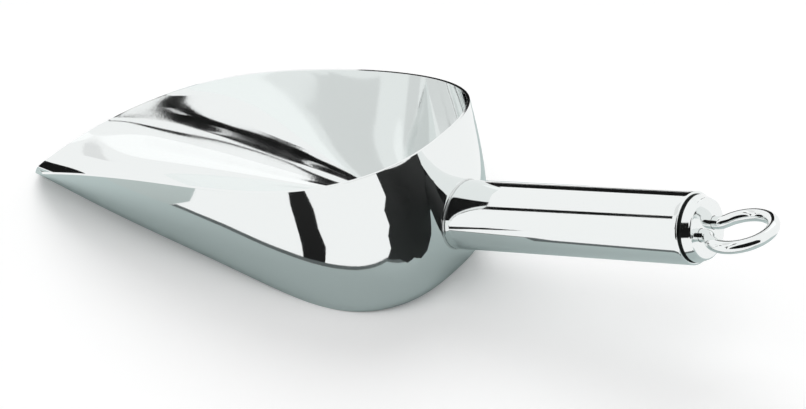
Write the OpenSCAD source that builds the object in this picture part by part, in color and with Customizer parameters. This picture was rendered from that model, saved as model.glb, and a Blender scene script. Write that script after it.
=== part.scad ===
// Ice scoop: a pressed steel bowl with a welded tube handle, an end cap and a wire loop.
// +X runs from the tip to the handle, +Z is up, and the origin is the middle of the flat base.

/* [Bowl] */
// Length of the bowl from the tip to the back of the rim
bowl_l = 176; // [145:1:212]
// Half width that the rim outline starts from at the tip
nose_half_w = 31.8; // [25:0.1:40]
// Half width that the rim outline reaches at the back
rear_half_w = 48.7; // [40:0.1:60]
// Squareness of the rim outline, where 2 is an ellipse
rim_fullness = 2.45; // [2:0.05:3]
// Height of the back of the rim above the tip
rim_rise = 55; // [46:0.5:68]
// How far the rim bellies up behind the tip
rim_lift = 1.2; // [0:0.05:1.4]
// Height of the tip's underside above the table
tip_h = 1.1; // [0.4:0.1:3]
// Thickness of the pressed sheet
sheet_t = 1; // [0.8:0.1:1.4]

/* [Base] */
// Distance from the tip back to the start of the flat base
base_front = 19; // [14:1:26]
// Distance from the back of the rim forward to the end of the flat base
base_back = 10.4; // [6:0.2:20]
// Half width that the flat base starts from
base_nose_half_w = 2.8; // [1.5:0.1:8]
// Half width that the flat base reaches at the back
base_rear_half_w = 41.8; // [32:0.1:44]
// Squareness of the base outline
base_fullness = 3.1; // [2:0.1:3.4]
// How far the back wall swells behind the rim, measured at its lower corner
wall_swell = 15; // [8:0.5:20]
// Share by which the side walls draw in towards the base
side_draft = 0.18; // [0.05:0.01:0.25]

/* [Handle] */
// Outside diameter of the handle tube
tube_d = 22; // [18:0.5:27]
// Wall of the handle tube
tube_wall = 1.2; // [1:0.1:1.5]
// Horizontal distance from the back of the rim to the open end of the tube
tube_reach = 89; // [74:1:107]
// Height of the tube's axis at its open end
tube_end_h = 46; // [43:0.5:50]
// Slope of the handle in degrees
handle_angle = 12.5; // [10:0.5:15]
// Width and height of the polished weld between the bowl and the tube
weld_w = 1.2; // [0.8:0.1:2]

/* [Cap] */
// How far the cap stands out of the tube
cap_proud = 3.9; // [2.5:0.1:5]
// Depth of the cap's spigot inside the tube
cap_depth = 9; // [6:0.5:14]
// How much narrower than the tube the cap's shoulder is, on the radius
cap_step = 0.7; // [0.4:0.1:0.9]
// How much narrower than its shoulder the cap's face is, on the radius
cap_taper = 1; // [0.5:0.1:2]
// Thickness of the cap's face and of its spigot
cap_wall = 2; // [1.5:0.1:2.5]

/* [Loop] */
// Diameter of the loop's wire
wire_d = 3.9; // [3.2:0.1:4.7]
// Radius of the loop's round end, to the middle of the wire
loop_r = 9.6; // [8:0.1:12]
// Distance between the two legs of the loop, from middle to middle
leg_gap = 7.6; // [6.4:0.1:9]
// Radius of the bend that turns each leg outwards, to the middle of the wire
neck_r = 3; // [2.6:0.1:5]
// Straight length of each leg outside the cap
leg_out = 1; // [0.5:0.1:4]
// Length of each leg that stands behind the cap's face, where it is welded
leg_in = 1.6; // [1:0.1:3]
// Width of the weld around each leg
loop_weld_w = 1; // [0.6:0.1:1.2]

/* [Hidden] */

around = 96;            // steps around the bowl
rings = 14;             // steps from the base up to the rim
curve_steps = 96;       // $fn of the round pieces
wire_sides = 24;        // sides of the loop's wire
neck_steps = 8;         // steps along each bend at the loop's neck
loop_steps = 24;        // steps along each half of the loop's round end
tip_layback = 0.5;      // share of the way from rim to base where the lip's wall starts at the tip
layback_fade = 5;       // how fast the wall steepens behind the tip
base_round = 0.55;      // roundness of the bowl's lower corner on the base's side
wall_round = 0.57;      // roundness of the bowl's lower corner on the wall's side
fit_gap = 0.02;         // clearance of the cap's spigot and of the loop's legs
cap_edge = 0.5;         // bevel around the cap's face
tube_edge = 0.3;        // bevel on the tube's open end
blank_in = 12;          // length of tube behind the back of the rim before it is cut to the wall
block_depth = 30;       // depth of the block that cuts the tube to the wall
block_steps = 14;       // steps to each side of the middle that the block covers
block_ring = 2;         // first ring that the block covers

base_l = bowl_l - base_front - base_back;
tip_x = -base_front - base_l / 2;
rim_back_x = tip_x + bowl_l;
tube_end_x = rim_back_x + tube_reach;
tube_r = tube_d / 2;
bore_r = tube_r - tube_wall;
spigot_r = bore_r - fit_gap;
hollow_r = spigot_r - cap_wall;
tube_blank_l = (tube_reach + blank_in) / cos(handle_angle);
leg_y = leg_gap / 2;
wire_r = wire_d / 2;
neck_z = cap_proud + leg_out;
loop_x = neck_z + sqrt(pow(loop_r + neck_r, 2) - pow(leg_y + neck_r, 2));
neck_turn = asin((leg_y + neck_r) / (loop_r + neck_r));
leg_l = leg_out + cap_wall + leg_in;

function mix(a, b, share) = a + (b - a) * share;
function unit(v) = v / norm(v);

// Share of the length from the tip that an angle around the bowl stands for
function share_at(turn) = (1 - cos(turn)) / 2;

function half_width(share, nose, rear, fullness) =
    mix(nose, rear, share) * pow(max(0, 1 - pow(abs(2 * share - 1), fullness)), 1 / fullness);

function side_of(turn) = sin(turn) < 0 ? -1 : 1;

function rim_point(turn) =
    let (s = share_at(turn))
    [tip_x + bowl_l * s,
     side_of(turn) * half_width(s, nose_half_w, rear_half_w, rim_fullness),
     tip_h + rim_rise * (s + rim_lift * s * pow(1 - s, 2))];

function base_point(turn) =
    let (s = share_at(turn))
    [tip_x + base_front + base_l * s,
     side_of(turn) * half_width(s, base_nose_half_w, base_rear_half_w, base_fullness),
     0];

// Where the wall and the base would meet if the lower corner were sharp
function corner_point(turn) =
    let (s = share_at(turn),
         c = mix(rim_point(turn), base_point(turn), tip_layback * pow(1 - s, layback_fade)))
    [c.x + wall_swell * s * s, c.y * (1 - side_draft * s), 0];

// Outside of the bowl, from the edge of the base at rise = 0 to the rim at rise = 1
function wall_point(turn, rise) =
    let (p0 = base_point(turn),
         p3 = rim_point(turn),
         c = corner_point(turn),
         p1 = mix(p0, c, base_round),
         p2 = mix(p3, c, wall_round),
         q = 1 - rise)
    q * q * q * p0 + 3 * q * q * rise * p1 + 3 * q * rise * rise * p2 + rise * rise * rise * p3;

function wall_normal(turn, rise) =
    let (step = 0.01,
         low = max(0, rise - step),
         high = min(1, rise + step))
    unit(cross(wall_point(turn + 0.5, rise) - wall_point(turn - 0.5, rise),
               wall_point(turn, high) - wall_point(turn, low)));

// A point of the wall moved outwards by grow, or inwards where it is negative
function shell_point(turn, rise, grow) =
    wall_point(turn, rise) - grow * wall_normal(turn, rise);

function ring(rise, grow) =
    [for (i = [0:around - 1]) shell_point(i * 360 / around, rise, grow)];

// The loop's path from the end of one leg to its far point, each as [y, z, heading y, heading z]
loop_half = concat(
    [[leg_y, neck_z - leg_l, 0, 1]],
    [for (i = [0:neck_steps - 1])
        let (a = mix(-90, -neck_turn, i / neck_steps))
        [leg_y + neck_r + neck_r * sin(a), neck_z + neck_r * cos(a), cos(a), -sin(a)]],
    [for (i = [0:loop_steps])
        let (a = mix(180 - neck_turn, 0, i / loop_steps))
        [loop_r * sin(a), loop_x + loop_r * cos(a), -cos(a), sin(a)]]);

loop_path = concat(
    loop_half,
    [for (i = [len(loop_half) - 2:-1:0])
        let (p = loop_half[i])
        [-p[0], p[1], p[2], -p[3]]]);

function wire_ring(p) =
    [for (i = [0:wire_sides - 1])
        let (a = i * 360 / wire_sides)
        [wire_r * sin(a), p[0] + wire_r * cos(a) * p[3], p[1] - wire_r * cos(a) * p[2]]];

// Triangles between two rows of points, for a closed or an open row
function band(first, second, count, closed) =
    [for (i = [0:count - (closed ? 1 : 2)])
        let (k = (i + 1) % count)
        each [[first + i, second + k, second + i], [first + i, first + k, second + k]]];

module bowl_shell() {
    outer = [for (j = [0:rings]) each ring(j / rings, 0)];
    inner = [for (j = [0:rings]) each ring(j / rings, -sheet_t)];
    inside = (rings + 1) * around;
    floor_outer = [for (i = [around - 1:-1:0]) i];
    floor_inner = [for (i = [0:around - 1]) inside + i];
    polyhedron(
        points = concat(outer, inner),
        faces = concat(
            [floor_outer, floor_inner],
            [for (j = [0:rings - 1]) each band(j * around, (j + 1) * around, around, true)],
            band(rings * around, inside + rings * around, around, true),
            [for (j = [0:rings - 1]) each
                band(inside + (j + 1) * around, inside + j * around, around, true)]));
}

// The back of the bowl as a block, whose curved face is the wall's outside moved out by grow
module back_block(grow) {
    wide = 2 * block_steps + 1;
    rows = rings - block_ring + 1;
    turns = [for (i = [-block_steps:block_steps]) 180 + i * 360 / around];
    face_points = [for (j = [block_ring:rings]) each [for (t = turns) shell_point(t, j / rings, grow)]];
    deep_x = rim_back_x - block_depth;
    deep_points = [for (p = face_points) [deep_x, p.y, p.z]];
    back = wide * rows;
    top = (rows - 1) * wide;
    polyhedron(
        points = concat(face_points, deep_points),
        faces = concat(
            [for (j = [0:rows - 2]) each band(j * wide, (j + 1) * wide, wide, false)],
            [for (j = [0:rows - 2]) each band(back + (j + 1) * wide, back + j * wide, wide, false)],
            band(back, 0, wide, false),
            band(top, back + top, wide, false),
            [for (j = [0:rows - 2])
                let (a = j * wide, b = (j + 1) * wide)
                each [[a, back + b, back + a], [a, b, back + b]]],
            [for (j = [0:rows - 2])
                let (a = (j + 1) * wide - 1, b = (j + 2) * wide - 1)
                each [[a, back + b, b], [a, back + a, back + b]]]));
}

// Places children with +Z along the handle and the origin in the tube's open end
module on_handle() {
    translate([tube_end_x, 0, tube_end_h]) rotate([0, 90 - handle_angle, 0]) children();
}

module bowl() {
    color("gainsboro") bowl_shell();
}

module handle_tube() {
    color("silver")
    difference() {
        on_handle()
        rotate_extrude($fn = curve_steps)
        polygon([
            [bore_r, -tube_blank_l],
            [tube_r, -tube_blank_l],
            [tube_r, -tube_edge],
            [tube_r - tube_edge, 0],
            [bore_r, 0]
        ]);
        back_block(0);
    }
}

module bowl_weld() {
    color("lightgray")
    difference() {
        intersection() {
            on_handle()
            translate([0, 0, -tube_blank_l])
            difference() {
                cylinder(h = tube_blank_l, r = tube_r + weld_w, $fn = curve_steps);
                translate([0, 0, -1]) cylinder(h = tube_blank_l + 2, r = tube_r, $fn = curve_steps);
            }
            back_block(weld_w);
        }
        back_block(0);
    }
}

module end_cap() {
    shoulder_r = tube_r - cap_step;
    face_r = shoulder_r - cap_taper;
    color("whitesmoke")
    on_handle()
    difference() {
        rotate_extrude($fn = curve_steps)
        polygon([
            [0, cap_proud - cap_wall],
            [hollow_r, cap_proud - cap_wall],
            [hollow_r, -cap_depth],
            [spigot_r, -cap_depth],
            [spigot_r, 0],
            [shoulder_r, 0],
            [face_r, cap_proud - cap_edge],
            [face_r - cap_edge, cap_proud],
            [0, cap_proud]
        ]);
        for (side = [-1, 1])
            translate([0, side * leg_y, cap_proud - cap_wall - 1])
            cylinder(h = cap_wall + 2, r = wire_r + fit_gap, $fn = curve_steps);
    }
}

module hanging_loop() {
    sections = [for (p = loop_path) each wire_ring(p)];
    count = len(loop_path);
    last = (count - 1) * wire_sides;
    color("silver")
    on_handle()
    polyhedron(
        points = sections,
        faces = concat(
            [[for (i = [wire_sides - 1:-1:0]) i]],
            [[for (i = [0:wire_sides - 1]) last + i]],
            [for (j = [0:count - 2]) each
                band(j * wire_sides, (j + 1) * wire_sides, wire_sides, true)]));
}

// The wall of the cap's hollow trims a bead that reaches it
module loop_welds() {
    color("darkgray")
    on_handle()
    intersection() {
        translate([0, 0, -cap_depth])
        cylinder(h = cap_depth + cap_proud, r = hollow_r, $fn = curve_steps);
        for (side = [-1, 1])
            translate([0, side * leg_y, cap_proud - cap_wall - leg_in])
            rotate_extrude($fn = curve_steps)
            polygon([
                [wire_r, leg_in],
                [wire_r, leg_in - loop_weld_w],
                [wire_r + loop_weld_w, leg_in]
            ]);
    }
}

bowl();
handle_tube();
bowl_weld();
end_cap();
hanging_loop();
loop_welds();
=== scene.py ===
import math

import bmesh
import bpy
from mathutils import Matrix, Vector
from mathutils.bvhtree import BVHTree


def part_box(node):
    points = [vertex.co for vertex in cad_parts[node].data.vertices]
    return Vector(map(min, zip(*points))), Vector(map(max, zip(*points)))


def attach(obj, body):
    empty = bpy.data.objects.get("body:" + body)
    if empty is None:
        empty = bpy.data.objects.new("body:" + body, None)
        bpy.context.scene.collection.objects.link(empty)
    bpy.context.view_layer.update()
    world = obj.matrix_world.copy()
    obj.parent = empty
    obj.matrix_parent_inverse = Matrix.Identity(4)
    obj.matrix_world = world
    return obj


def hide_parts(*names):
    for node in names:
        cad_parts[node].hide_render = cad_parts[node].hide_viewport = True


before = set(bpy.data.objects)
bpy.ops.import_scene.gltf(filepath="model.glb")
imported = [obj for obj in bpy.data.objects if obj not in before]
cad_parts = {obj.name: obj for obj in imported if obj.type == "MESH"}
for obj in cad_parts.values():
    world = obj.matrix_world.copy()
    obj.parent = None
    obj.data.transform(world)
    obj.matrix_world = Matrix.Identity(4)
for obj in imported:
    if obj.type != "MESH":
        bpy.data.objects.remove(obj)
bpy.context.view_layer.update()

MM = 0.001

# The pressed bowl, from the same sizes as the construction
BOWL_LENGTH = 176 * MM
NOSE_HALF_WIDTH = 31.8 * MM
REAR_HALF_WIDTH = 48.7 * MM
RIM_FULLNESS = 2.45
RIM_RISE = 55 * MM
RIM_LIFT = 1.2
TIP_HEIGHT = 1.1 * MM
SHEET = 1.0 * MM
BASE_FRONT = 19 * MM
BASE_BACK = 10.4 * MM
BASE_NOSE_HALF_WIDTH = 2.8 * MM
BASE_REAR_HALF_WIDTH = 41.8 * MM
BASE_FULLNESS = 3.1
WALL_SWELL = 15 * MM
SIDE_DRAFT = 0.18
TIP_LAYBACK = 0.5
LAYBACK_FADE = 5
BASE_ROUND = 0.55
WALL_ROUND = 0.57
BASE_LENGTH = BOWL_LENGTH - BASE_FRONT - BASE_BACK
TIP_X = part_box("bowl")[0][0]

# The handle
TUBE_RADIUS = 11 * MM
TUBE_WALL = 1.2 * MM
TUBE_REACH = 89 * MM
TUBE_END_HEIGHT = 46 * MM
TUBE_END = Vector((TIP_X + BOWL_LENGTH + TUBE_REACH, 0, TUBE_END_HEIGHT))
HANDLE_ANGLE = math.radians(12.5)
TUBE_EDGE = 0.45 * MM
WELD_WIDTH = 0.35 * MM

# The cap and the wire loop
CAP_PROUD = 3.9 * MM
CAP_STEP = 0.7 * MM
CAP_TAPER = 1.0 * MM
CAP_WALL = 2.0 * MM
CAP_EDGE = 0.5 * MM
CAP_DEPTH = 9 * MM
SEAM = 0.9 * MM
WIRE_RADIUS = 1.95 * MM
LOOP_RADIUS = 9.6 * MM
LEG_Y = 3.8 * MM
NECK_RADIUS = 3 * MM
LEG_OUT = 1 * MM
LEG_IN = 1.6 * MM
HOLE_GAP = 0.12 * MM

# How finely the round shapes are cut, and the distance at which points merge
AROUND = 144
WALL_RINGS = 26
BASE_RINGS = 7
ROUND_STEPS = 96
WIRE_SIDES = 32
HOLE_SIDES = 48
MERGE = 1e-7

# The studio
FLOOR_HALF = 3.0
FLOOR_LEVEL = -0.1 * MM
FLOOR_LIFT = 0.16
SKY_LIGHT = 0.4
SUN_BACK = 1.15
SUN_FRONT = 0.9
SUN_SPREAD = math.radians(50)
SKY_DISTANCE = 9.0
FRONT_SKY_DISTANCE = 8.9

# Levels of the flat cards over the table, in millimetres like their outlines
MAT_LEVEL = 0.05
EDGE_LEVEL = 0.06
DARK_LEVEL = 0.08

POLISHED = (0.86, 0.885, 0.88)
BLACK = (0.02, 0.02, 0.02)
FINE_GRAIN = (900.0, 0.000002)
COARSE_GRAIN = (900.0, 0.000004)

# Handle space: +Z runs along the handle and the origin is in the tube's open end
ON_HANDLE = Matrix.Translation(TUBE_END) @ Matrix.Rotation(math.pi / 2 - HANDLE_ANGLE, 4, "Y")
HANDLE_WAY = (ON_HANDLE.to_3x3() @ Vector((0, 0, 1))).normalized()


def mix(a, b, share):
    return a + (b - a) * share


def half_width(share, nose, rear, fullness):
    ends = max(0.0, 1 - abs(2 * share - 1) ** fullness) ** (1 / fullness)
    return mix(nose, rear, share) * ends


def rim_point(turn):
    share = (1 - math.cos(turn)) / 2
    side = -1 if math.sin(turn) < 0 else 1
    y = side * half_width(share, NOSE_HALF_WIDTH, REAR_HALF_WIDTH, RIM_FULLNESS)
    z = TIP_HEIGHT + RIM_RISE * (share + RIM_LIFT * share * (1 - share) ** 2)
    return Vector((TIP_X + BOWL_LENGTH * share, y, z))


def base_point(turn):
    share = (1 - math.cos(turn)) / 2
    side = -1 if math.sin(turn) < 0 else 1
    y = side * half_width(share, BASE_NOSE_HALF_WIDTH, BASE_REAR_HALF_WIDTH, BASE_FULLNESS)
    return Vector((TIP_X + BASE_FRONT + BASE_LENGTH * share, y, 0))


def wall_point(turn, rise):
    """Outside of the bowl, from the edge of its base at rise 0 to its rim at rise 1."""
    share = (1 - math.cos(turn)) / 2
    start = base_point(turn)
    end = rim_point(turn)
    corner = mix(end, start, TIP_LAYBACK * (1 - share) ** LAYBACK_FADE)
    corner = Vector((corner.x + WALL_SWELL * share**2, corner.y * (1 - SIDE_DRAFT * share), 0))
    low = mix(start, corner, BASE_ROUND)
    high = mix(end, corner, WALL_ROUND)
    q = 1 - rise
    return q**3 * start + 3 * q * q * rise * low + 3 * q * rise**2 * high + rise**3 * end


def new_piece(name, bm, material, body="root"):
    """Turns a bmesh into a smooth piece that rides on a body and wears one material."""
    mesh = bpy.data.meshes.new(name)
    bm.to_mesh(mesh)
    bm.free()
    mesh.materials.append(material)
    mesh.shade_smooth()
    piece = bpy.data.objects.new(name, mesh)
    bpy.context.scene.collection.objects.link(piece)
    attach(piece, body)
    return piece


def next_ring(bm, edges):
    """Extrudes a ring of edges and returns the new ring's vertices and edges."""
    made = bmesh.ops.extrude_edge_only(bm, edges=edges)["geom"]
    verts = [g for g in made if isinstance(g, bmesh.types.BMVert)]
    return verts, [g for g in made if isinstance(g, bmesh.types.BMEdge)]


def bowl_skin():
    """The outside of the bowl as one open skin: flat base, wall and rim."""
    bm = bmesh.new()
    turn_of = bm.verts.layers.float.new("turn")
    first = bmesh.ops.create_circle(bm, cap_ends=False, radius=1, segments=AROUND)["verts"]
    for i, v in enumerate(first):
        v[turn_of] = 2 * math.pi * i / AROUND
        v.co = wall_point(v[turn_of], 0)
    edges = first_edges = list(bm.edges)
    for step in range(1, WALL_RINGS + 1):
        verts, edges = next_ring(bm, edges)
        for v in verts:
            v.co = wall_point(v[turn_of], step / WALL_RINGS)
    edges = first_edges
    for step in range(1, BASE_RINGS + 1):
        verts, edges = next_ring(bm, edges)
        for v in verts:
            v.co = base_point(v[turn_of]) * (1 - step / (BASE_RINGS + 0.5))
    bmesh.ops.contextual_create(bm, geom=edges)
    bmesh.ops.recalc_face_normals(bm, faces=bm.faces[:])
    bm.faces.ensure_lookup_table()
    lowest = min(bm.faces, key=lambda f: f.calc_center_median().z)
    if lowest.normal.z > 0:
        bmesh.ops.reverse_faces(bm, faces=bm.faces[:])
    return bm


def make_bowl(material):
    """Makes the bowl and returns its outside as a tree that rays can be cast at."""
    bm = bowl_skin()
    wall = BVHTree.FromBMesh(bm)
    bowl = new_piece("pressed_bowl", bm, material)
    thick = bowl.modifiers.new("sheet", "SOLIDIFY")
    thick.thickness = SHEET
    thick.offset = -1
    thick.use_even_offset = False
    edge = bowl.modifiers.new("rim_edge", "BEVEL")
    edge.width = 0.28 * MM
    edge.segments = 3
    edge.limit_method = "ANGLE"
    edge.angle_limit = math.radians(55)
    smooth = bowl.modifiers.new("smooth", "SUBSURF")
    smooth.levels = smooth.render_levels = 1
    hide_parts("bowl")
    return wall


def handle_point(radius, angle, along):
    return ON_HANDLE @ Vector((radius * math.cos(angle), radius * math.sin(angle), along))


def wall_depth(wall, radius, angle):
    """Where a line along the handle, at that radius and angle, meets the bowl's outside."""
    clear_of_wall = -40 * MM
    start = handle_point(radius, angle, clear_of_wall)
    hit = wall.ray_cast(start, -HANDLE_WAY)[0]
    return clear_of_wall - (hit - start).length


def ring_of(bm, count):
    verts = bmesh.ops.create_circle(bm, cap_ends=False, radius=1, segments=count)["verts"]
    return verts, list({e for v in verts for e in v.link_edges})


def sweep_rings(count, rings):
    """A bmesh of rings round the handle: each is a function from an angle to radius and place."""
    bm = bmesh.new()
    turn_of = bm.verts.layers.float.new("turn")
    verts, edges = ring_of(bm, count)
    for i, v in enumerate(verts):
        v[turn_of] = 2 * math.pi * i / count
    for k, ring in enumerate(rings):
        if k:
            verts, edges = next_ring(bm, edges)
        for v in verts:
            radius, along = ring(v[turn_of])
            v.co = handle_point(radius, v[turn_of], along)
    return bm


def make_tube(wall, material):
    into_wall = 0.4 * MM
    bore = TUBE_RADIUS - TUBE_WALL
    edge = [(TUBE_RADIUS - TUBE_EDGE * (1 - math.sin(a)), -TUBE_EDGE * (1 - math.cos(a)))
            for a in (math.pi / 2 * k / 4 for k in range(4, -1, -1))]
    spans = [0.0, 0.02, 0.06, 0.12, 0.25, 0.4, 0.55, 0.7, 0.85, 0.95, 0.985]

    def outside(share):
        def ring(angle):
            start = wall_depth(wall, TUBE_RADIUS, angle) - into_wall
            return TUBE_RADIUS, mix(start, -TUBE_EDGE, share)
        return ring

    rings = [outside(s) for s in spans]
    rings += [lambda angle, p=p: p for p in edge]
    rings += [lambda angle, p=p: (bore, p) for p in (0.0, -0.4 * MM, -12 * MM)]
    rings += [lambda angle: (bore, wall_depth(wall, bore, angle) - into_wall)]
    bm = sweep_rings(ROUND_STEPS, rings)
    bmesh.ops.bridge_loops(bm, edges=[e for e in bm.edges if e.is_boundary])
    bmesh.ops.recalc_face_normals(bm, faces=bm.faces[:])
    tube = new_piece("handle_tube_shell", bm, material)
    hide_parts("handle_tube")


def make_bowl_weld(wall, material):
    inside = 0.3 * MM

    def fillet(share):
        def ring(angle):
            foot = wall_depth(wall, TUBE_RADIUS + WELD_WIDTH, angle)
            root = wall_depth(wall, TUBE_RADIUS, angle)
            q = 1 - share
            radius = TUBE_RADIUS + WELD_WIDTH * share**2
            along = q * q * (root + WELD_WIDTH) + 2 * q * share * root + share**2 * foot
            return radius, along
        return ring

    def hidden(angle):
        return TUBE_RADIUS + WELD_WIDTH, wall_depth(wall, TUBE_RADIUS + WELD_WIDTH, angle) - inside

    def hidden_root(angle):
        return TUBE_RADIUS - inside, wall_depth(wall, TUBE_RADIUS, angle) - inside

    def hidden_top(angle):
        return TUBE_RADIUS - inside, wall_depth(wall, TUBE_RADIUS, angle) + WELD_WIDTH

    rings = [fillet(k / 6) for k in range(7)] + [hidden, hidden_root, hidden_top]
    bm = sweep_rings(ROUND_STEPS, rings)
    ends = [e for e in bm.edges if e.is_boundary]
    bmesh.ops.bridge_loops(bm, edges=ends)
    bmesh.ops.recalc_face_normals(bm, faces=bm.faces[:])
    weld = new_piece("bowl_weld_fillet", bm, material)
    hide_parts("bowl_weld")


def spin_profile(profile):
    """A closed solid from a profile of (radius, place) points, spun round the handle's axis."""
    bm = bmesh.new()
    verts = [bm.verts.new((r, 0, z)) for r, z in profile]
    edges = [bm.edges.new(pair) for pair in zip(verts, verts[1:])]
    bmesh.ops.spin(bm, geom=verts + edges, cent=(0, 0, 0), axis=(0, 0, 1),
                   angle=2 * math.pi, steps=ROUND_STEPS, use_merge=True)
    bmesh.ops.remove_doubles(bm, verts=bm.verts[:], dist=MERGE)
    bmesh.ops.recalc_face_normals(bm, faces=bm.faces[:])
    bmesh.ops.transform(bm, matrix=ON_HANDLE, verts=bm.verts[:])
    return bm


def make_cap(material, seam_shade_material):
    shoulder = TUBE_RADIUS - CAP_STEP
    face = shoulder - CAP_TAPER
    bore = TUBE_RADIUS - TUBE_WALL
    edge = [(face - CAP_EDGE * (1 - math.cos(a)), CAP_PROUD - CAP_EDGE * (1 - math.sin(a)))
            for a in (math.pi / 2 * k / 5 for k in range(6))]
    seat = 0.02 * MM
    profile = [(0, CAP_PROUD - CAP_WALL), (bore - CAP_WALL, CAP_PROUD - CAP_WALL),
               (bore - CAP_WALL, -CAP_DEPTH), (bore - seat, -CAP_DEPTH), (bore - seat, 0), (bore - seat, SEAM), (shoulder - 0.35 * MM, SEAM),
               (shoulder - 0.22 * MM, SEAM + 0.06 * MM), (shoulder - 0.15 * MM, SEAM + 0.2 * MM),
               (mix(shoulder, face, 0.9), CAP_PROUD - 0.75 * MM)]
    profile += edge
    profile += [(face - 1.4 * MM, CAP_PROUD), (face - 4 * MM, CAP_PROUD), (0, CAP_PROUD)]
    cap = new_piece("cap_plug", spin_profile(profile), material)
    cutter = bmesh.new()
    for side in (-1, 1):
        place = ON_HANDLE @ Matrix.Translation((0, side * LEG_Y, CAP_PROUD - CAP_WALL / 2))
        # Half a side's turn keeps the hole's corners off the spokes of the cap's face
        place = place @ Matrix.Rotation(math.pi / HOLE_SIDES, 4, "Z")
        bmesh.ops.create_cone(cutter, cap_ends=True, segments=HOLE_SIDES, radius1=WIRE_RADIUS + HOLE_GAP,
                              radius2=WIRE_RADIUS + HOLE_GAP, depth=3 * CAP_WALL, matrix=place)
    drill = new_piece("drill", cutter, material)
    cut = cap.modifiers.new("holes", "BOOLEAN")
    cut.object = drill
    cut.solver = "EXACT"
    bpy.context.view_layer.update()
    finished = cap.evaluated_get(bpy.context.evaluated_depsgraph_get())
    holed = bpy.data.meshes.new_from_object(finished)
    cap.modifiers.clear()
    cap.data = holed
    bpy.data.objects.remove(drill)
    holed.set_sharp_from_angle(angle=math.radians(35))
    # The faces at and below the seam get the second, near-black material: painted shade in the groove
    # between the cap and the tube
    holed.materials.append(seam_shade_material)
    from_world = ON_HANDLE.inverted()
    for face_of_cap in holed.polygons:
        spot = from_world @ face_of_cap.center
        if spot.z < SEAM + 0.01 * MM:
            face_of_cap.material_index = 1
    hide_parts("end_cap")


def make_loop(material):
    """One round wire: a leg, a neck bend, the round end, and the same back again."""
    neck_z = CAP_PROUD + LEG_OUT
    reach = LOOP_RADIUS + NECK_RADIUS
    neck_turn = math.asin((LEG_Y + NECK_RADIUS) / reach)
    loop_z = neck_z + math.sqrt(reach**2 - (LEG_Y + NECK_RADIUS) ** 2)
    leg = neck_z - CAP_PROUD + CAP_WALL + LEG_IN
    bm = bmesh.new()
    start = Matrix.Translation((0, LEG_Y, neck_z - leg))
    end = bmesh.ops.create_circle(bm, cap_ends=True, radius=WIRE_RADIUS, segments=WIRE_SIDES, matrix=start)
    geom = [*end["verts"], *bm.edges, *bm.faces]

    def straight(geom, length):
        made = bmesh.ops.extrude_face_region(bm, geom=[g for g in geom if isinstance(g, bmesh.types.BMFace)])
        verts = [g for g in made["geom"] if isinstance(g, bmesh.types.BMVert)]
        bmesh.ops.translate(bm, vec=(0, 0, length), verts=verts)
        return made["geom"]

    def bend(geom, centre, angle, steps):
        faces = [g for g in geom if isinstance(g, bmesh.types.BMFace)]
        made = bmesh.ops.spin(bm, geom=faces, cent=centre, axis=(1, 0, 0), angle=angle, steps=steps)
        return made["geom_last"]

    geom = straight(geom, leg)
    geom = bend(geom, (0, LEG_Y + NECK_RADIUS, neck_z), neck_turn - math.pi / 2, 10)
    geom = bend(geom, (0, 0, loop_z), 2 * (math.pi - neck_turn), 72)
    geom = bend(geom, (0, -LEG_Y - NECK_RADIUS, neck_z), neck_turn - math.pi / 2, 10)
    straight(geom, -leg)
    bmesh.ops.remove_doubles(bm, verts=bm.verts[:], dist=MERGE)
    # The spins leave a face across the wire at each joint of two stretches
    inner = [f for f in bm.faces if all(len(e.link_faces) > 2 for e in f.edges)]
    bmesh.ops.delete(bm, geom=inner, context="FACES_ONLY")
    bmesh.ops.recalc_face_normals(bm, faces=bm.faces[:])
    bmesh.ops.transform(bm, matrix=ON_HANDLE, verts=bm.verts[:])
    loop = new_piece("wire_loop", bm, material)
    loop.data.set_sharp_from_angle(angle=math.radians(50))
    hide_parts("hanging_loop")


def make_loop_welds(material):
    for k, side in enumerate((-1, 1)):
        floor = CAP_PROUD - CAP_WALL
        place = Matrix.Translation((0, side * LEG_Y, floor - 0.5 * MM))
        bm = bmesh.new()
        bmesh.ops.create_cone(bm, cap_ends=True, segments=32, radius1=WIRE_RADIUS + 0.1 * MM,
                              radius2=WIRE_RADIUS + 1.0 * MM, depth=1.0 * MM, matrix=place)
        rims = [e for e in bm.edges if e.calc_face_angle(0) > 0.5]
        bmesh.ops.bevel(bm, geom=rims, offset=0.25 * MM, offset_type="OFFSET", affect="EDGES",
                        segments=3, profile=0.5, material=-1)
        bmesh.ops.transform(bm, matrix=ON_HANDLE, verts=bm.verts[:])
        weld = new_piece(f"leg_weld_{k + 1}", bm, material)
        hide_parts("loop_welds")


class Nodes:
    """A short way to add and join a material's nodes."""

    def __init__(self, name):
        self.material = bpy.data.materials.new(name)
        self.material.use_nodes = True
        self.tree = self.material.node_tree
        self.shader = self.tree.nodes["Principled BSDF"]

    def add(self, kind, **values):
        made = self.tree.nodes.new(kind)
        for key, value in values.items():
            if hasattr(made, key):
                setattr(made, key, value)
            else:
                made.inputs[key.replace("_", " ")].default_value = value
        return made

    def join(self, out, into):
        self.tree.links.new(out, into)

    def blend(self, factor, first, second):
        mixed = self.add("ShaderNodeMixShader")
        self.join(factor, mixed.inputs["Fac"])
        self.join(first, mixed.inputs[1])
        self.join(second, mixed.inputs[2])
        return mixed.outputs["Shader"]

    def clear_from_behind(self, shader):
        """Ends the material with a shader that shows from the front only."""
        clear = self.add("ShaderNodeBsdfTransparent")
        side = self.add("ShaderNodeNewGeometry")
        mixed = self.blend(side.outputs["Backfacing"], shader, clear.outputs["BSDF"])
        self.join(mixed, self.tree.nodes["Material Output"].inputs["Surface"])
        return self.material


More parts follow.
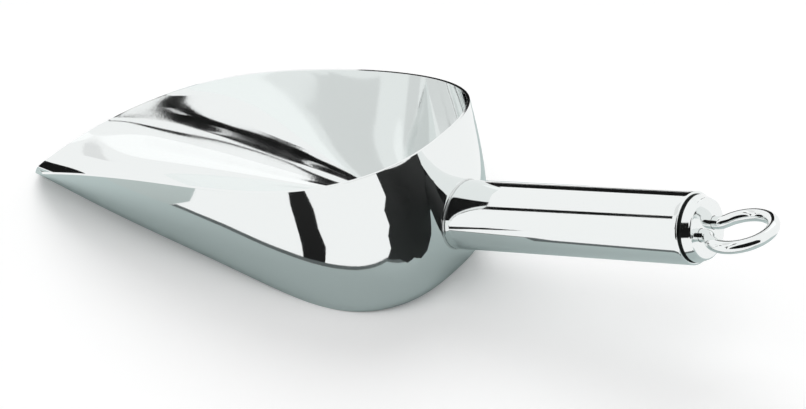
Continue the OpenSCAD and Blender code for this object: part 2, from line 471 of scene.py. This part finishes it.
def steel(name, colour, roughness, waviness, brushing):
    """Bare metal. Waviness and brushing are each a noise's scale and its bump's depth."""
    n = Nodes(name)
    n.shader.inputs["Metallic"].default_value = 1.0
    n.shader.inputs["Base Color"].default_value = (*colour, 1)
    where = n.add("ShaderNodeTexCoord")
    wear = n.add("ShaderNodeTexNoise", Scale=90.0, Detail=5.0, Roughness=0.6)
    n.join(where.outputs["Object"], wear.inputs["Vector"])
    spread = n.add("ShaderNodeMapRange")
    spread.inputs["From Min"].default_value = 0.3
    spread.inputs["From Max"].default_value = 0.75
    spread.inputs["To Min"].default_value = roughness * 0.6
    spread.inputs["To Max"].default_value = roughness * 1.6
    n.join(wear.outputs["Fac"], spread.inputs["Value"])
    n.join(spread.outputs["Result"], n.shader.inputs["Roughness"])
    waves = n.add("ShaderNodeTexNoise", Scale=waviness[0], Detail=1.0, Roughness=0.4)
    n.join(where.outputs["Object"], waves.inputs["Vector"])
    bend = n.add("ShaderNodeBump", Strength=1.0, Distance=waviness[1])
    n.join(waves.outputs["Fac"], bend.inputs["Height"])
    fine = n.add("ShaderNodeTexNoise", Scale=brushing[0], Detail=3.0, Roughness=0.6)
    n.join(where.outputs["Object"], fine.inputs["Vector"])
    grain = n.add("ShaderNodeBump", Strength=1.0, Distance=brushing[1])
    n.join(fine.outputs["Fac"], grain.inputs["Height"])
    n.join(bend.outputs["Normal"], grain.inputs["Normal"])
    n.join(grain.outputs["Normal"], n.shader.inputs["Normal"])
    return n.material


def flat_shape(name, corners, material):
    """One flat face through the corners, part of the studio and not of the scoop."""
    bm = bmesh.new()
    bm.faces.new([bm.verts.new(c) for c in corners])
    mesh = bpy.data.meshes.new(name)
    bm.to_mesh(mesh)
    bm.free()
    mesh.materials.append(material)
    shape = bpy.data.objects.new(name, mesh)
    bpy.context.scene.collection.objects.link(shape)
    return shape


def card(name, corners, material):
    """A card that only reflections show."""
    shape = flat_shape(name, corners, material)
    shape.visible_camera = False
    shape.visible_diffuse = False
    shape.visible_shadow = False


def sky_card(name, corners, material, distance=SKY_DISTANCE):
    """A far card, from corners given as degrees around and degrees up."""
    middle = Vector((0.05, 0, 0.04))
    places = []
    for around, up in corners:
        a = math.radians(around)
        u = math.radians(up)
        way = Vector((math.cos(a) * math.cos(u), math.sin(a) * math.cos(u), math.sin(u)))
        places.append(middle + way * distance)
    card(name, places, material)


def floor_card(name, corners, material, level):
    """A card that lies on the table, from corners and a level given in millimetres."""
    card(name, [(x * MM, y * MM, level * MM) for x, y in corners], material)


def floor_material():
    """White with shadows for the camera, plain white in the steel, and clear from below."""
    n = Nodes("floor_white")
    n.shader.inputs["Base Color"].default_value = (0.9, 0.9, 0.9, 1)
    n.shader.inputs["Roughness"].default_value = 0.6
    n.shader.inputs["Specular IOR Level"].default_value = 0.0
    paper = n.shader.outputs["BSDF"]
    lift = n.add("ShaderNodeEmission", Strength=FLOOR_LIFT)
    lifted = n.add("ShaderNodeAddShader")
    n.join(paper, lifted.inputs[0])
    n.join(lift.outputs["Emission"], lifted.inputs[1])
    path = n.add("ShaderNodeLightPath")
    white = n.add("ShaderNodeEmission", Strength=1.0)
    seen = n.blend(path.outputs["Is Camera Ray"], paper, lifted.outputs["Shader"])
    mirrored = n.blend(path.outputs["Is Glossy Ray"], seen, white.outputs["Emission"])
    return n.clear_from_behind(mirrored)


def matt(name, colour):
    n = Nodes(name)
    n.shader.inputs["Base Color"].default_value = (*colour, 1)
    n.shader.inputs["Roughness"].default_value = 0.9
    n.shader.inputs["Specular IOR Level"].default_value = 0.0
    return n.material


def one_sided_black():
    """Black from the front and clear from behind, so that it doesn't show in the handle."""
    n = Nodes("card_black_one_sided")
    n.shader.inputs["Base Color"].default_value = (*BLACK, 1)
    return n.clear_from_behind(n.shader.outputs["BSDF"])


def glow(name, strength):
    n = Nodes(name)
    n.shader.inputs["Base Color"].default_value = (0, 0, 0, 1)
    n.shader.inputs["Emission Color"].default_value = (1, 1, 1, 1)
    n.shader.inputs["Emission Strength"].default_value = strength
    return n.material


def make_floor():
    half = FLOOR_HALF
    corners = [(-half, -half), (half, -half), (half, half), (-half, half)]
    flat_shape("floor", [(x, y, FLOOR_LEVEL) for x, y in corners], floor_material())


def make_table_cards(black):
    """What the outside of the bowl and the handle mirror: a grey mat, its edge and dark strips."""
    mat = matt("card_mat", (0.55, 0.63, 0.625))
    edge = matt("card_mat_edge", (0.16, 0.18, 0.18))
    pale = matt("card_table_pale", (0.56, 0.62, 0.61))
    floor_card("table_mat", [
        (-130, -47), (-60, -50), (-28, -52), (0, -53), (60, -51.5), (90, -49), (100, -38), (300, -38),
        (300, 60), (100, 64), (72, 94), (60, 114), (20, 120), (-130, 120)], mat, MAT_LEVEL)
    floor_card("table_mat_edge", [
        (-26, -54), (0, -55.2), (60, -53.8), (92, -51.2), (102, -46), (300, -46), (300, -37),
        (100, -37), (90, -49), (60, -51.5), (0, -53), (-28, -52)], edge, EDGE_LEVEL)
    floor_card("table_pale", [
        (-130, -47), (-60, -50), (-28, -52), (-22, -60), (-26, -75), (-30, -130), (-130, -130)],
        pale, MAT_LEVEL)
    floor_card("table_strip", [
        (40, -54), (51, -54), (53, -64), (51, -76), (52, -90), (50.5, -99), (48, -110), (31, -110),
        (34, -99), (34, -88), (37, -72), (39, -62)], black, DARK_LEVEL)
    floor_card("table_far", [(-60, 420), (-250, 330), (-900, 1150), (-500, 1400)], black, DARK_LEVEL)


def make_bar_cards(black):
    """The dark band across the inside of the bowl, and the stripes near its back corner."""
    sky_card("bar", [
        (238.5, 37.5), (241.2, 34.6), (243.2, 33.8), (244.6, 32.2), (246.4, 28.6), (248.2, 23.8),
        (249.6, 20), (250.9, 15.3), (251.9, 11), (252.7, 7), (253, 3), (253, -3.5), (251.6, -3.5),
        (250.3, 7), (248.8, 13), (247.2, 17.6), (245.6, 20), (243.9, 21.2), (242.8, 19), (243, 17),
        (240.6, 17.6), (238.5, 30)], black)
    sky_card("bar_rim", [
        (238.5, 37.5), (238.3, 41), (236, 47.6), (232, 52.2), (225, 57.2), (219, 60), (209, 62.5),
        (197, 64.2), (197, 69), (215, 68), (230, 63), (238, 53), (239.2, 45), (239.2, 37.5)], black)
    sky_card("bar_gap", [
        (249.9, 15), (247.2, 21.6), (245, 24.3), (243.2, 26.5), (242.2, 30), (241.9, 33.5),
        (242.4, 33.5), (242.8, 30), (243.7, 27), (245.3, 25), (247.5, 22.3), (250.1, 15.6)],
        glow("card_white", 0.8), FRONT_SKY_DISTANCE)
    sky_card("bar_end", [(207.6, 39), (207.2, 31.5), (214.6, 27), (214.6, 35)], black)
    sky_card("post_far", [(213.4, 3), (214.8, 3), (215.4, 20), (213.8, 20)], black)
    sky_card("post_top", [(197, 23.5), (199.6, 23.5), (199.6, 28.5), (197, 28.5)], black)


def make_surround_cards(black):
    """The wide dark, bright and pale areas of the room."""
    light_grey = glow("card_pale", 0.8)
    sky_card("side", [(112, -3), (129, -3), (137, 18), (133, 20), (131, 25), (112, 25)], black)
    sky_card("room", [
        (260, -1), (300, -1), (350, -1), (352, 28), (343, 54), (300, 60), (270, 50), (260, 26)], black)
    sky_card("bright_side", [(78, 22), (107, 27), (109, 36), (107, 44), (106, 56), (78, 56)],
             glow("card_bright", 1.12))
    sky_card("bright_top", [
        (160, 57.2), (185, 57.6), (200, 56.5), (228, 53), (230, 54.5), (219, 60), (209, 62.5),
        (190, 65), (160, 61)], glow("card_top", 1.08))
    sky_card("pale_top", [
        (111, 36), (124, 38), (128, 45), (131, 50), (128, 52), (120, 48), (111, 44.5), (112.5, 42),
        (109.5, 40), (112, 38)], light_grey)
    sky_card("pale_back", [
        (146, 46), (152, 50), (160, 53.5), (170, 56), (185, 57), (200, 55.5), (212, 50),
        (210, 42.5), (204, 42), (200, 44), (190, 45), (170, 45.5)], light_grey)
    sky_card("pale_low", [(192, 26.5), (209, 22), (209.5, 26), (204, 30), (192, 29.5)], light_grey)


def make_upright_card():
    """The dark patch by the handle. Its outline is sideways and up from its foot, in millimetres."""
    facing = math.radians(-25)
    foot = Vector((100, -30, 0))
    sideways = Vector((-math.sin(facing), math.cos(facing), 0))
    outline = [
        (-21, 1), (-16, 9), (-16, 16), (-13, 22), (-14, 29), (-10, 36), (-12, 47), (26, 52), (26, 32),
        (21, 25), (19, 14), (14, 6), (8, 3), (2, 5), (-4, 2), (-10, 4)]
    places = [(foot + sideways * s + Vector((0, 0, z))) * MM for s, z in outline]
    card("upright_black", places, one_sided_black())


def make_camera():
    azimuth = math.radians(38.85)
    elevation = math.radians(32)
    roll = math.radians(-7.15)
    distance = 0.8692
    target = Vector((0.06166, 0.00234, 0.02222))
    back = Vector((math.sin(azimuth) * math.cos(elevation), -math.cos(azimuth) * math.cos(elevation),
                   math.sin(elevation)))
    right = Vector((math.cos(azimuth), math.sin(azimuth), 0))
    up = back.cross(right)
    turned_right = math.cos(roll) * right + math.sin(roll) * up
    turned_up = math.cos(roll) * up - math.sin(roll) * right
    data = bpy.data.cameras.new("camera")
    data.sensor_width = 36
    data.lens = 120.6
    camera = bpy.data.objects.new("camera", data)
    camera.matrix_world = Matrix.Translation(target + back * distance) @ Matrix(
        (turned_right, turned_up, back)).transposed().to_4x4()
    bpy.context.scene.collection.objects.link(camera)
    bpy.context.scene.camera = camera


def make_world():
    """White to the camera and in the steel, and dimmer as a light."""
    world = bpy.data.worlds.new("studio")
    bpy.context.scene.world = world
    world.use_nodes = True
    tree = world.node_tree
    sky = tree.nodes["Background"]
    sky.inputs["Color"].default_value = (1, 1, 1, 1)
    sky.inputs["Strength"].default_value = SKY_LIGHT
    seen = tree.nodes.new("ShaderNodeBackground")
    seen.inputs["Color"].default_value = (1, 1, 1, 1)
    seen.inputs["Strength"].default_value = 1.0
    path = tree.nodes.new("ShaderNodeLightPath")
    either = tree.nodes.new("ShaderNodeMath")
    either.operation = "MAXIMUM"
    tree.links.new(path.outputs["Is Camera Ray"], either.inputs[0])
    tree.links.new(path.outputs["Is Glossy Ray"], either.inputs[1])
    mixed = tree.nodes.new("ShaderNodeMixShader")
    tree.links.new(either.outputs["Value"], mixed.inputs["Fac"])
    tree.links.new(sky.outputs["Background"], mixed.inputs[1])
    tree.links.new(seen.outputs["Background"], mixed.inputs[2])
    tree.links.new(mixed.outputs["Shader"], tree.nodes["World Output"].inputs["Surface"])


def make_lights():
    """Two wide soft lights, one from behind the scoop and one from the camera's side."""
    for name, way, strength in (("soft_back", (-0.5, 0.62, 1.0), SUN_BACK),
                                ("soft_front", (0.3, -0.34, 1.0), SUN_FRONT)):
        lamp = bpy.data.lights.new(name, "SUN")
        lamp.energy = strength
        lamp.angle = SUN_SPREAD
        soft = bpy.data.objects.new(name, lamp)
        bpy.context.scene.collection.objects.link(soft)
        soft.matrix_world = Vector(way).to_track_quat("Z", "Y").to_matrix().to_4x4()
        soft.visible_glossy = False


sheet_steel = steel("polished_sheet_steel", POLISHED, 0.045, (26.0, 0.0001), FINE_GRAIN)
tube_steel = steel("polished_tube_steel", POLISHED, 0.05, (20.0, 0.00003), FINE_GRAIN)
cap_steel = steel("turned_cap_steel", POLISHED, 0.07, (60.0, 0.00001), FINE_GRAIN)
wire_steel = steel("bent_wire_steel", POLISHED, 0.06, (60.0, 0.00001), FINE_GRAIN)
weld_steel = steel("ground_weld_steel", (0.7, 0.72, 0.715), 0.12, (400.0, 0.00001), COARSE_GRAIN)
# Near-black metal for the cap's seam, which paints shade into the groove between the cap and the tube
seam_painted_shade = steel("seam_painted_shade", (0.03, 0.033, 0.032), 0.4, (400.0, 0.00001), COARSE_GRAIN)

bowl_wall = make_bowl(sheet_steel)
make_tube(bowl_wall, tube_steel)
make_bowl_weld(bowl_wall, weld_steel)
make_cap(cap_steel, seam_painted_shade)
make_loop(wire_steel)
make_loop_welds(weld_steel)

card_black = matt("card_black", BLACK)
make_floor()
make_table_cards(card_black)
make_bar_cards(card_black)
make_surround_cards(card_black)
make_upright_card()
make_camera()
make_world()
make_lights()
bpy.context.scene.view_settings.view_transform = "Standard"

bpy.context.view_layer.update()
